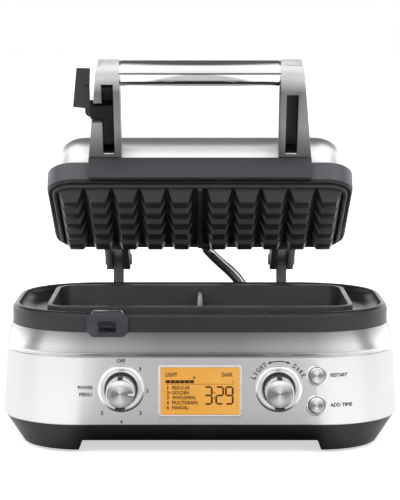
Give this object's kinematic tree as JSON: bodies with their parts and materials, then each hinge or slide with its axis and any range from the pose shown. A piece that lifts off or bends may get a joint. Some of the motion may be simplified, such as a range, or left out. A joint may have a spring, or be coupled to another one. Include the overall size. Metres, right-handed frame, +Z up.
{
  "type": "waffle maker",
  "caption": "Square waffle maker with side-by-side wells, hinged lid with tube handle and swing latch, control dials, push buttons and a backlit display.",
  "frame": {"origin": "centre of the whole object's plan box at the level of the feet, with the lid at its rest angle", "axes": "+X to the user's right, +Y to the back (hinges), +Z up"},
  "size_m": [0.3326, 0.2658, 0.3201],
  "materials": {
    "brushed_steel_skin": "satin",
    "dark_frame": "satin",
    "black_tray": "matte",
    "nonstick_plate": "satin nonstick",
    "cast_arm": "satin",
    "polished_tube": "polished",
    "latch_plastic": "matte",
    "foot_rubber": "matte",
    "element_sheath": "matte",
    "shield_sheet": "satin",
    "gland_plastic": "matte",
    "conduit_metal": "polished",
    "bezel_metal": "satin",
    "display_glass": "clear",
    "display_glow": "backlit",
    "circuit_board": "matte",
    "component_plastic": "matte",
    "ring_metal": "polished",
    "knob_metal": "satin",
    "brushed_cap": "spun",
    "pin_steel": "satin",
    "hinge_post_metal": "satin",
    "hinge_arm_metal": "satin"
  },
  "bodies": {
    "base": {"base_pan": "black_tray", "foot_pad_front_left": "foot_rubber", "foot_pad_front_right": "foot_rubber", "foot_pad_rear_left": "foot_rubber", "foot_pad_rear_right": "foot_rubber", "housing_shell": "brushed_steel_skin", "trim_band": "brushed_steel_skin", "rim_deck": "dark_frame", "latch_socket": "dark_frame", "lower_plate": "nonstick_plate", "lower_heating_element": "element_sheath", "lower_heat_shield": "shield_sheet", "cord_gland": "gland_plastic", "conduit_gland_base": "gland_plastic", "conduit": "conduit_metal", "display_bezel": "bezel_metal", "display_lens": "display_glass", "display_module": "display_glow", "control_board": "circuit_board", "menu_dial_ring": "ring_metal", "menu_encoder": "component_plastic", "browning_dial_ring": "ring_metal", "browning_encoder": "component_plastic", "restart_button_ring": "ring_metal", "restart_switch": "component_plastic", "extra_button_ring": "ring_metal", "extra_switch": "component_plastic", "hinge_post_left": "hinge_post_metal", "hinge_post_right": "hinge_post_metal", "hinge_pin_left": "pin_steel", "hinge_pin_right": "pin_steel"},
    "lid": {"lid_skirt": "dark_frame", "lid_ledge": "dark_frame", "lid_cover": "brushed_steel_skin", "upper_plate": "nonstick_plate", "upper_heating_element": "element_sheath", "upper_heat_shield": "shield_sheet", "handle_bracket": "dark_frame", "handle_arm_left": "cast_arm", "handle_arm_right": "cast_arm", "handle_tube": "polished_tube", "latch_pin": "pin_steel", "conduit_gland_lid": "gland_plastic", "hinge_arms_left": "hinge_arm_metal", "hinge_arms_right": "hinge_arm_metal"},
    "latch": {"latch_lever": "latch_plastic"},
    "menu_dial": {"menu_knob": "knob_metal", "menu_knob_cap": "brushed_cap", "menu_shaft": "pin_steel"},
    "browning_dial": {"browning_knob": "knob_metal", "browning_knob_cap": "brushed_cap", "browning_shaft": "pin_steel"},
    "restart_push": {"restart_button": "brushed_cap"},
    "extra_push": {"extra_button": "brushed_cap"}
  },
  "joints": [
    {"name": "lid_hinge", "type": "hinge", "parent": "base", "child": "lid", "pos_m": [0, 0.12345, 0.1325], "axis": [-1, 0, 0], "range_deg": [-28.7, 66], "deforming": ["conduit"]},
    {"name": "latch_swing", "type": "hinge", "parent": "lid", "child": "latch", "pos_m": [-0.0753, -0.05711, 0.25408], "axis": [1, 0, 0], "range_deg": [0, 96]},
    {"name": "menu_dial_turn", "type": "hinge", "parent": "base", "child": "menu_dial", "pos_m": [-0.064, -0.10895, 0.0541], "axis": [0, 1, 0], "range_deg": [-90, 135]},
    {"name": "browning_dial_turn", "type": "hinge", "parent": "base", "child": "browning_dial", "pos_m": [0.064, -0.10895, 0.0541], "axis": [0, 1, 0], "continuous": true},
    {"name": "restart_press", "type": "slide", "parent": "base", "child": "restart_push", "axis": [0, 1, 0], "range_m": [0, 0.0015], "stiffness_N_per_m": 400, "springref_m": -0.002},
    {"name": "extra_press", "type": "slide", "parent": "base", "child": "extra_push", "axis": [0, 1, 0], "range_m": [0, 0.0015], "stiffness_N_per_m": 400, "springref_m": -0.002}
  ]
}
